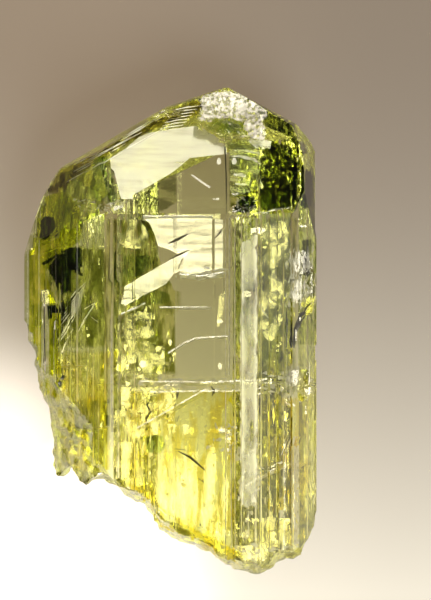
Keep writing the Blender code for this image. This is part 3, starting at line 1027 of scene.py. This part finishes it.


# Dark tinted films laid where cracks show the dark of the room: painted dark reflections.
PAINTED_DARK_REFLECTIONS = (
    ((47, 268), (57, 256), (73, 247), (82, 246), (84, 278), (74, 289), (62, 296), (53, 280)),
    ((41, 263), (60, 252), (73, 246), (73, 248), (60, 255), (43, 267)),
    ((46, 305), (56, 304), (62, 318), (48, 320)),
    ((38, 222), (46, 216), (54, 218), (58, 226), (53, 234), (45, 241), (38, 239), (41, 230)),
    ((300, 172), (306, 168), (313, 176), (313, 207), (306, 209), (300, 206)),
    ((291, 168), (295, 164), (298, 168), (298, 206), (295, 209), (291, 206)),
    ((240, 199), (247, 195), (257, 199), (256, 208), (246, 213), (235, 214), (234, 206)),
)
# Zones where a dark film darkens what is behind it: painted shade for the deepest green places.
PAINTED_SHADE_ZONES = (
    ((262, 150), (272, 142), (290, 146), (297, 160), (297, 206), (290, 192), (264, 190), (258, 175)),
    ((301, 240), (312, 238), (312, 278), (303, 276)),
    ((232, 90), (262, 104), (294, 124), (295, 140), (282, 134), (268, 128), (256, 108), (240, 98)),
    ((58, 306), (70, 292), (82, 286), (78, 306), (66, 330), (60, 322)),
    ((258, 188), (292, 186), (292, 208), (260, 213)),
)


def add_painted_darkness():
    """Dark films that paint shade: painted reflections of the dark of the room where cracks show it, dark
    specks in the glitter, and the deepest green zones as painted shade.
    """
    bm = sheets(PAINTED_DARK_REFLECTIONS, 0.45, 3.0)
    # Small dark flakes among the glitter, tinted by the same film: painted dark reflections.
    flakes(bm, (186, 524), (296, 572), (0.2, 1.6), 40, (0.05, 0.06), UNDER_FRONT, 10.0, 41)
    flakes(bm, (118, 392), (176, 440), (0.3, 1.6), 50, (0.06, 0.09), UNDER_FRONT, 10.0, 42)
    flakes(bm, (150, 480), (234, 548), (0.3, 1.6), 40, (0.04, 0.14), UNDER_FRONT, 10.0, 43)
    flakes(bm, (258, 250), (292, 366), (0.3, 1.6), 40, (0.06, 0.12), UNDER_FRONT, 10.0, 44)
    # The dark film: its tint paints the dark reflection of the room, not a colour of the stone.
    material = film_material("painted_dark_reflection", (0.11, 0.16, 0.16), (0.42, 0.50, 0.24), 6.0,
                             LONG_STREAKS, 0.46, 0.66)
    inside_piece("painted_dark_reflections", bm, material)
    # The deep zone film: a near-grey dark tint, painted shade.
    material = film_material("painted_shade_zone", (0.17, 0.19, 0.16), (0.68, 0.71, 0.44), 5.0,
                             LONG_STREAKS, 0.40, 0.62)
    inside_piece("painted_shade_zones", sheets(PAINTED_SHADE_ZONES, 0.6, 3.0), material)


# The paths of the black flakes and lines, with their radius. A crumb is a pixel, its width and its length.
BLACK_PATHS = (
    (((178, 451), (190, 457), (197, 463), (205, 470)), 0.07),
    (((177, 449), (186, 450)), 0.05),
    (((198, 478), (205, 483)), 0.05),
    (((152, 397), (147, 405), (151, 412), (146, 419), (148, 424)), 0.05),
    (((176, 389), (178, 394), (177, 399)), 0.06),
    (((179, 415), (177, 422)), 0.05),
    (((211, 386), (214, 391), (212, 396)), 0.07),
    (((75, 425), (79, 428), (82, 430)), 0.08),
    (((50, 407), (53, 409)), 0.08),
    (((225, 134), (225, 150), (226, 180), (226, 214)), 0.04),
    (((257, 262), (262, 256), (267, 250)), 0.05),
    (((257, 257), (264, 249)), 0.04),
    (((257, 283), (262, 278), (266, 273)), 0.05),
    (((258, 302), (263, 309)), 0.06),
    (((224, 278), (224, 299)), 0.05),
    (((215, 284), (215, 299)), 0.04),
    (((168, 244), (176, 239), (188, 234)), 0.07),
    (((170, 259), (181, 254), (190, 250)), 0.05),
    (((215, 238), (220, 233), (223, 227)), 0.05),
    (((309, 305), (301, 315), (295, 330), (292, 341)), 0.15),
    (((306, 314), (300, 324), (296, 334)), 0.09),
    (((291, 335), (292, 341), (291, 348)), 0.2),
)
BLACK_CRUMBS = ((60, 382, 0.2, 0.3), (63, 377, 0.16, 0.12), (57, 387, 0.12, 0.14))
BLACK = (0.008, 0.009, 0.006, 1.0)
DARK_GREY = (0.06, 0.065, 0.04, 1.0)


def add_black_flakes():
    bm = new_parts()
    for path, radius in BLACK_PATHS:
        tube(bm, path, [0.5] * len(path), radius)
    for n, (x, y, wide, long) in enumerate(BLACK_CRUMBS):
        lump(bm, x, y, 0.35, (wide, long), n * 1.7)
    material = bpy.data.materials.new("graphite")
    nodes = Nodes(material)
    shade = nodes.mix(nodes.noise(nodes.place(), 5.0), BLACK, DARK_GREY)
    nodes.put(nodes.shader.inputs["Base Color"], shade)
    nodes.shader.inputs["Roughness"].default_value = 0.35
    inside_piece("graphite_flakes", bm, material)


GREEN_PATCHES = (
    ((92, 160), (108, 155), (111, 170), (115, 180), (121, 200), (108, 205), (95, 204), (90, 190),
     (93, 175)),
    ((118, 255), (148, 253), (153, 263), (150, 270), (127, 284), (112, 292), (108, 285), (114, 262)),
    ((150, 293), (158, 289), (170, 294), (172, 302), (160, 306), (151, 303)),
    ((210, 123), (245, 121), (243, 128), (232, 136), (222, 130)),
    ((258, 192), (291, 190), (291, 208), (262, 212)),
    ((144, 438), (152, 434), (164, 435), (167, 446), (160, 455), (146, 453)),
)
GREEN_ZONES = (
    ((26, 250), (108, 245), (108, 350), (28, 350)),
    ((118, 218), (156, 218), (158, 255), (176, 292), (178, 376), (118, 376)),
    ((257, 216), (292, 216), (292, 400), (257, 400)),
    ((104, 217), (117, 217), (117, 430), (105, 430)),
    ((227, 140), (262, 138), (290, 150), (290, 205), (228, 214)),
    ((40, 180), (90, 165), (108, 210), (60, 240), (30, 250)),
    ((50, 402), (112, 397), (112, 482), (60, 476)),
)
AMBER_ZONES = (
    ((118, 390), (238, 388), (238, 560), (200, 545), (150, 500), (118, 480)),
    ((256, 396), (312, 396), (312, 550), (256, 550)),
    ((45, 350), (112, 350), (112, 480), (60, 470)),
)
AMBER_RIM = (
    (112, 475), (130, 483), (146, 492), (158, 508), (172, 519), (190, 526), (208, 535), (226, 545),
    (246, 556), (246, 566), (226, 560), (200, 548), (176, 534), (158, 526), (144, 508), (126, 494),
)
OLIVE_ZONE = (
    (44, 196), (58, 172), (105, 146), (150, 123), (196, 98), (206, 102), (196, 116), (150, 132),
    (110, 154), (84, 172), (60, 196),
)
GREY_ZONES = (
    ((227, 142), (246, 139), (262, 142), (264, 160), (260, 190), (246, 196), (228, 200)),
    ((134, 199), (160, 180), (178, 172), (178, 202), (160, 214), (136, 214)),
)
YELLOW_EDGE = (
    (25, 222), (46, 196), (64, 190), (80, 208), (84, 236), (70, 250), (54, 258), (46, 272), (52, 290),
    (62, 318), (58, 345), (62, 372), (56, 402), (42, 402), (34, 360), (26, 330),
)


def add_colour_zones():
    """Greener, greyer and more golden parts of the crystal, as thin films."""
    material = film_material("green_patch", (0.62, 0.70, 0.55), (0.88, 0.93, 0.74), 2.2, (1.0, 0.4, 1.0))
    inside_piece("green_patches", sheets(GREEN_PATCHES, 0.9, 4.0), material)
    material = film_material("green_zone", (0.58, 0.61, 0.30), (0.93, 0.94, 0.70), 1.5, (1.0, 0.3, 1.0))
    inside_piece("green_zones", sheets(GREEN_ZONES, 1.2, 6.0), material)
    bm = sheets(AMBER_ZONES, 1.0, 6.0)
    sheet(bm, AMBER_RIM, 0.15, cell=3.0)
    material = film_material("amber_zone", (0.96, 0.91, 0.46), (1.0, 1.0, 0.76), 1.3, (1.0, 0.25, 1.0))
    inside_piece("amber_zones", bm, material)
    material = film_material("olive_zone", (0.42, 0.38, 0.22), (0.80, 0.76, 0.46), 2.4, EVEN)
    inside_piece("olive_zones", sheets([OLIVE_ZONE], 0.4, 4.0), material)
    material = film_material("grey_zone", (0.64, 0.66, 0.54), (0.88, 0.90, 0.76), 1.2, (0.5, 1.4, 1.0))
    inside_piece("grey_zones", sheets(GREY_ZONES, 0.5, 4.0), material)
    material = film_material("yellow_edge", (0.80, 0.84, 0.20), (1.0, 1.0, 0.42), 1.8, (1.0, 0.25, 1.0))
    inside_piece("yellow_edges", sheets([YELLOW_EDGE], 0.2, 4.0), material)


def add_tubes():
    """Hair-fine growth tubes: a fan under the left bevel, streaks under the tip, and needles at the right."""
    bm = new_parts()
    rng = random.Random(5)
    for n in range(11):
        top = Vector((86 - n * 0.6, 282 + n * 2.6))
        foot = top + Vector((-19 - n * 0.3, 22 + n * 1.6)) * rng.uniform(0.7, 1.15)
        tube(bm, (tuple(top), tuple(top.lerp(foot, 0.5)), tuple(foot)), (0.4, 0.5, 0.6), 0.028)
    tube(bm, ((95, 303), (85, 319), (76, 335)), (0.35, 0.4, 0.45), 0.05)
    tube(bm, ((73, 329), (65, 345), (57, 361)), (0.35, 0.4, 0.45), 0.05)
    tube(bm, ((91, 317), (98, 322)), (0.35, 0.4), 0.05)
    tube(bm, ((84, 309), (95, 303)), (0.35, 0.35), 0.035)
    material = thin_material("bevel_tube", 0.09, 0.3, 0.2, (1.5, 0.1, 0.3, EVEN), PALE_YELLOW, UNDER_BEVEL)
    inside_piece("bevel_tubes", bm, material)

    bm = new_parts()
    tube(bm, ((105, 152), (123, 142), (142, 132)), (0.2, 0.2, 0.2), 0.06)
    tube(bm, ((281, 455), (286, 441)), (0.4, 0.5), 0.05)
    tube(bm, ((286, 452), (291, 438)), (0.4, 0.5), 0.05)
    tube(bm, ((257, 303), (268, 318)), (0.4, 0.5), 0.06)
    for n in range(7):
        x, y = 160 + n * 2.5, 129 - n * 3.2
        tube(bm, ((x, y), (x + 12, y - 2.5), (x + 24, y - 4)), (0.25, 0.25, 0.25), 0.05)
    for n in range(16):
        start = Vector((64, 178)).lerp(Vector((150, 128)), rng.random())
        start += Vector((0.5, 1.0)) * rng.uniform(-6, 6)
        end = start + Vector((1.0, -0.56)) * rng.uniform(14, 40)
        tube(bm, (tuple(start), tuple(start.lerp(end, 0.5)), tuple(end)), (0.15, 0.15, 0.15), 0.035)
    inside_piece("growth_tubes", bm, thin_material("growth_tube", 0.2, 0.75, 0.15, (1.5, 0.1, 0.3, EVEN)))


def add_crumbs():
    """Small pale flakes: crushed places, the edges of the breaks, and the frayed rim of the long fracture."""
    bm = scatter(
        ((258, 372), (292, 394), (0.2, 2.0), 80, (0.28, 0.16), UNDER_FRONT, 12.0, 11),
        ((288, 368), (308, 402), (0.1, 1.5), 60, (0.16, 0.35), leaning(30, 0), 24.0, 12),
        ((205, 424), (236, 452), (0.3, 2.0), 60, (0.2, 0.2), UNDER_FRONT, 12.0, 13),
        ((140, 378), (240, 392), (0.3, 3.0), 110, (0.3, 0.12), UNDER_FRONT, 12.0, 14),
        ((238, 442), (262, 500), (0.2, 2.0), 60, (0.2, 0.3), UNDER_FRONT, 12.0, 15),
        ((186, 268), (226, 276), (0.4, 1.4), 30, (0.3, 0.12), UNDER_FRONT, 12.0, 16),
        ((200, 545), (290, 572), (0.1, 1.6), 140, (0.22, 0.18), UNDER_FRONT, 15.0, 17),
        ((290, 248), (313, 305), (0.1, 1.2), 140, (0.12, 0.4), leaning(35, 0), 20.0, 18),
        ((236, 196), (256, 212), (0.2, 0.8), 40, (0.14, 0.1), UNDER_FRONT, 12.0, 19),
        ((74, 200), (126, 214), (0.2, 1.2), 50, (0.2, 0.1), UNDER_TIP, 14.0, 20),
    )
    material = thin_material("fracture_flake", 0.06, 0.5, 0.12, (2.0, 0.15, 0.45, EVEN))
    inside_piece("fracture_flakes", bm, material)


def add_inside():
    add_tip_flashes()
    add_front_flashes()
    add_side_flashes()
    add_mottling()
    add_fractures()
    add_painted_darkness()
    add_black_flakes()
    add_colour_zones()
    add_tubes()
    add_crumbs()


# The stage: floor, lights and camera.


FLOOR_HALF_SIZE = 0.8
FLOOR_BELOW = 0.06
WORLD_COLOUR = (0.035, 0.03, 0.025, 1.0)


def add_floor():
    size = FLOOR_HALF_SIZE
    mesh = bpy.data.meshes.new("floor")
    corners = [(-size, -size, 0.0), (size, -size, 0.0), (size, size, 0.0), (-size, size, 0.0)]
    mesh.from_pydata(corners, [], [(0, 1, 2, 3)])
    mesh.materials.append(floor_material())
    floor = bpy.data.objects.new("floor", mesh)
    floor.location = (0.0, 0.0, -FLOOR_BELOW * MM)
    bpy.context.scene.collection.objects.link(floor)


def add_light(name, place, aim, size, brightness, colour):
    """A soft box: its brightness is its radiance, where 1 is a white surface in full light."""
    data = bpy.data.lights.new(name, "AREA")
    data.shape = "RECTANGLE"
    data.size, data.size_y = size[0] * MM, size[1] * MM
    data.energy = brightness * math.pi * data.size * data.size_y
    data.color = colour
    light = bpy.data.objects.new(name, data)
    light.location = Vector(place) * MM
    light.rotation_euler = (Vector(aim) - Vector(place)).to_track_quat("-Z", "Y").to_euler()
    light.visible_camera = False
    bpy.context.scene.collection.objects.link(light)


def add_world():
    world = bpy.data.worlds.new("studio")
    world.use_nodes = True
    world.node_tree.nodes["Background"].inputs["Color"].default_value = WORLD_COLOUR
    bpy.context.scene.world = world


def add_camera():
    camera = bpy.data.objects.new("camera", bpy.data.cameras.new("camera"))
    seen_height = IMAGE_HEIGHT * MM_PER_PIXEL
    camera.location = CAMERA_PLACE * MM
    camera.data.sensor_width = 36.0
    camera.data.lens = camera.data.sensor_width * (CAMERA_HEIGHT - SILHOUETTE_Z) / seen_height
    camera.data.clip_start = 0.005
    bpy.context.scene.collection.objects.link(camera)
    bpy.context.scene.camera = camera


def light_paths():
    """Lets light pass through as many faces as it does in a clear stone."""
    scene = bpy.context.scene
    scene.view_settings.view_transform = "Standard"
    scene.cycles.max_bounces = 12
    scene.cycles.transmission_bounces = 12
    scene.cycles.glossy_bounces = 12
    scene.cycles.transparent_max_bounces = 32


crystal = new_piece("crystal", crystal_mesh(), crystal_material())
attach(crystal, "root")
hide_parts("zoisite_crystal")
add_inside()
add_floor()
add_world()
add_light("soft_box", SOFT_BOX_PLACE, (0.0, 0.0, 5.0), (90.0, 90.0), 12.0, (1.0, 0.95, 0.86))
add_light("left_card", (-39.0, 0.0, 150.0), (-39.0, 0.0, 0.0), (42.0, 90.0), 1.1, (1.0, 0.96, 0.86))
add_light("right_card", (35.0, 0.0, 150.0), (35.0, 0.0, 0.0), (42.0, 90.0), 1.1, (1.0, 0.96, 0.86))
add_light("tip_light", (15.0, 70.0, 110.0), (3.0, 12.0, 6.0), (50.0, 50.0), 8.0, (1.0, 0.95, 0.86))
add_light("rim_light", (-24.0, -60.0, 26.0), (0.0, -5.0, 5.0), (44.0, 30.0), 1.5, (1.0, 0.97, 0.9))
add_light("side_card", (24.0, -12.0, 7.0), (0.0, -12.0, 7.0), (22.0, 12.0), 0.9, (1.0, 0.93, 0.78))
add_light("far_side_card", (24.0, 8.0, 7.0), (0.0, 8.0, 7.0), (18.0, 12.0), 0.32, (1.0, 0.97, 0.85))
add_camera()
light_paths()
